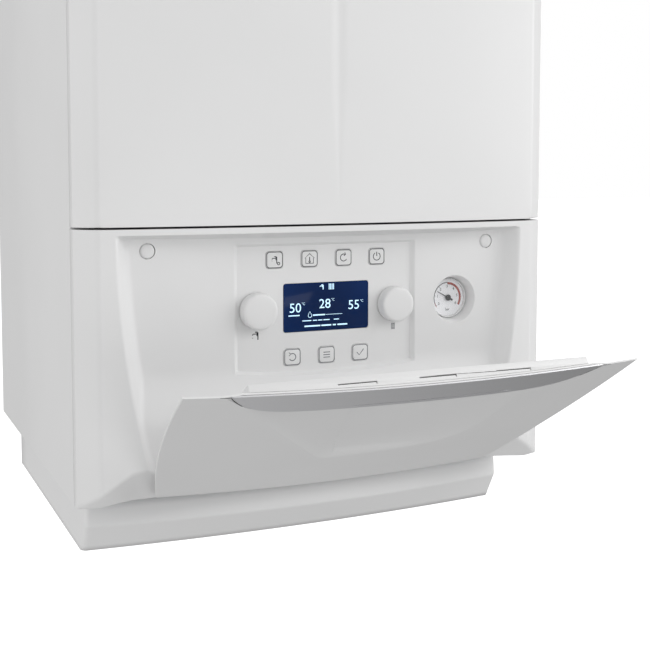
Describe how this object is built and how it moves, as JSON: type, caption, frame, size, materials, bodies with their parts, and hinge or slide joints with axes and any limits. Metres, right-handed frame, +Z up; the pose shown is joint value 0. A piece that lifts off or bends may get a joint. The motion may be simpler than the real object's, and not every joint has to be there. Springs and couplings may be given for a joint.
{
  "type": "wall-hung condensing combi boiler",
  "caption": "White wall-hung combi boiler with bowed cover, fold-down control flap, display, knobs, push buttons, pressure gauge and lower pipe cover.",
  "frame": {"origin": "on the wall plane, in the middle of the width, at the height of the gap between the casing and its lower cover", "axes": "+X to the right seen from the front, +Y into the wall, +Z up"},
  "size_m": [0.44, 0.5939, 0.9383],
  "materials": {
    "white_steel": "white powder coat, fine orange peel",
    "white_plastic": "white moulded plastic, fine satin texture",
    "silver_trim": "silver-painted plastic, satin",
    "navy_display": "deep blue display window",
    "clear_lens": "clear window",
    "dark_plastic": "dark moulded housing",
    "black_plastic": "black moulded plastic",
    "circuit_board": "green solder mask",
    "galvanised": "galvanised sheet",
    "stainless": "stainless sheet",
    "cast_aluminium": "as-cast",
    "brass": "machined and cast brass",
    "copper": "drawn copper tube",
    "grey_plastic": "grey moulded plastic",
    "red_paint": "red enamel",
    "blue_plastic": "blue moulded plastic",
    "ceramic": "glazed ceramic insulator"
  },
  "bodies": {
    "casing": {"left_side_panel": "white_steel", "right_side_panel": "white_steel", "top_panel": "white_steel", "front_cover": "white_steel", "lower_cover": "white_plastic", "flue_collar": "white_plastic", "return_block": "dark_plastic", "fan_motor": "black_plastic", "pump_motor": "black_plastic", "three_way_valve_motor": "black_plastic", "back_frame": "galvanised", "wall_bracket": "galvanised", "bottom_plate": "galvanised", "condensing_module": "stainless", "burner": "stainless", "plate_heat_exchanger": "stainless", "exchanger_door": "cast_aluminium", "fan_housing": "cast_aluminium", "gas_air_manifold": "cast_aluminium", "gas_valve": "cast_aluminium", "flow_block": "brass", "safety_valve": "brass", "gas_feed_pipe": "copper", "heating_flow_pipe": "copper", "hot_water_pipe": "copper", "cold_water_pipe": "copper", "heating_return_pipe": "copper", "gas_inlet_pipe": "copper", "flow_riser": "copper", "return_riser": "copper", "flue_duct": "grey_plastic", "siphon_trap": "grey_plastic", "expansion_vessel": "red_paint", "ignition_electrode": "ceramic"},
    "dashboard": {"panel_fascia": "white_plastic", "control_plate": "white_plastic", "display_lens": "navy_display", "gauge_body": "white_plastic", "gauge_lens": "clear_lens", "left_screw_cap": "white_plastic", "right_screw_cap": "white_plastic", "electronics_box": "dark_plastic", "control_board": "circuit_board", "left_flap_pin": "stainless", "right_flap_pin": "stainless"},
    "flap": {"flap_shell": "white_plastic", "flap_liner": "white_plastic", "flap_trim": "silver_trim"},
    "hot_water_knob_body": {"hot_water_knob": "white_plastic"},
    "heating_knob_body": {"heating_knob": "white_plastic"},
    "gauge_needle_body": {"gauge_needle": "black_plastic"},
    "fan_rotor": {"fan_impeller": "grey_plastic"},
    "filling_tap": {"filling_tap_handle": "blue_plastic"},
    "hot_water_button_body": {"hot_water_button": "white_plastic"},
    "room_temperature_button_body": {"room_temperature_button": "white_plastic"},
    "mode_button_body": {"mode_button": "white_plastic"},
    "power_button_body": {"power_button": "white_plastic"},
    "reset_button_body": {"reset_button": "white_plastic"},
    "menu_button_body": {"menu_button": "white_plastic"},
    "confirm_button_body": {"confirm_button": "white_plastic"}
  },
  "joints": [
    {"name": "panel_tilt", "type": "hinge", "parent": "casing", "child": "dashboard", "pos_m": [0, -0.3945, 0.005], "axis": [1, 0, 0], "range_deg": [0, 75]},
    {"name": "flap_hinge", "type": "hinge", "parent": "dashboard", "child": "flap", "pos_m": [0, -0.42, 0.02], "axis": [1, 0, 0], "range_deg": [-56.8, 0]},
    {"name": "hot_water_knob_turn", "type": "hinge", "parent": "dashboard", "child": "hot_water_knob_body", "pos_m": [-0.0653, -0.4, 0.1568], "axis": [0, 1, 0], "range_deg": [-150, 150]},
    {"name": "heating_knob_turn", "type": "hinge", "parent": "dashboard", "child": "heating_knob_body", "pos_m": [0.0653, -0.4, 0.1568], "axis": [0, 1, 0], "range_deg": [-150, 150]},
    {"name": "gauge_needle_turn", "type": "hinge", "parent": "dashboard", "child": "gauge_needle_body", "pos_m": [0.1274, -0.397, 0.158], "axis": [0, 1, 0], "range_deg": [-60, 182], "stiffness_Nm_per_rad": 0.001},
    {"name": "fan_spin", "type": "hinge", "parent": "casing", "child": "fan_rotor", "pos_m": [0.128, -0.3, 0.56], "axis": [0, 1, 0], "continuous": true},
    {"name": "filling_tap_turn", "type": "hinge", "parent": "casing", "child": "filling_tap", "pos_m": [0.098, -0.11, -0.02], "axis": [0, 0, 1], "range_deg": [0, 270]},
    {"name": "hot_water_press", "type": "slide", "parent": "dashboard", "child": "hot_water_button_body", "axis": [0, 1, 0], "range_m": [0, 0.0008], "stiffness_N_per_m": 600},
    {"name": "room_temperature_press", "type": "slide", "parent": "dashboard", "child": "room_temperature_button_body", "axis": [0, 1, 0], "range_m": [0, 0.0008], "stiffness_N_per_m": 600},
    {"name": "mode_press", "type": "slide", "parent": "dashboard", "child": "mode_button_body", "axis": [0, 1, 0], "range_m": [0, 0.0008], "stiffness_N_per_m": 600},
    {"name": "power_press", "type": "slide", "parent": "dashboard", "child": "power_button_body", "axis": [0, 1, 0], "range_m": [0, 0.0008], "stiffness_N_per_m": 600},
    {"name": "reset_press", "type": "slide", "parent": "dashboard", "child": "reset_button_body", "axis": [0, 1, 0], "range_m": [0, 0.0008], "stiffness_N_per_m": 600},
    {"name": "menu_press", "type": "slide", "parent": "dashboard", "child": "menu_button_body", "axis": [0, 1, 0], "range_m": [0, 0.0008], "stiffness_N_per_m": 600},
    {"name": "confirm_press", "type": "slide", "parent": "dashboard", "child": "confirm_button_body", "axis": [0, 1, 0], "range_m": [0, 0.0008], "stiffness_N_per_m": 600}
  ]
}
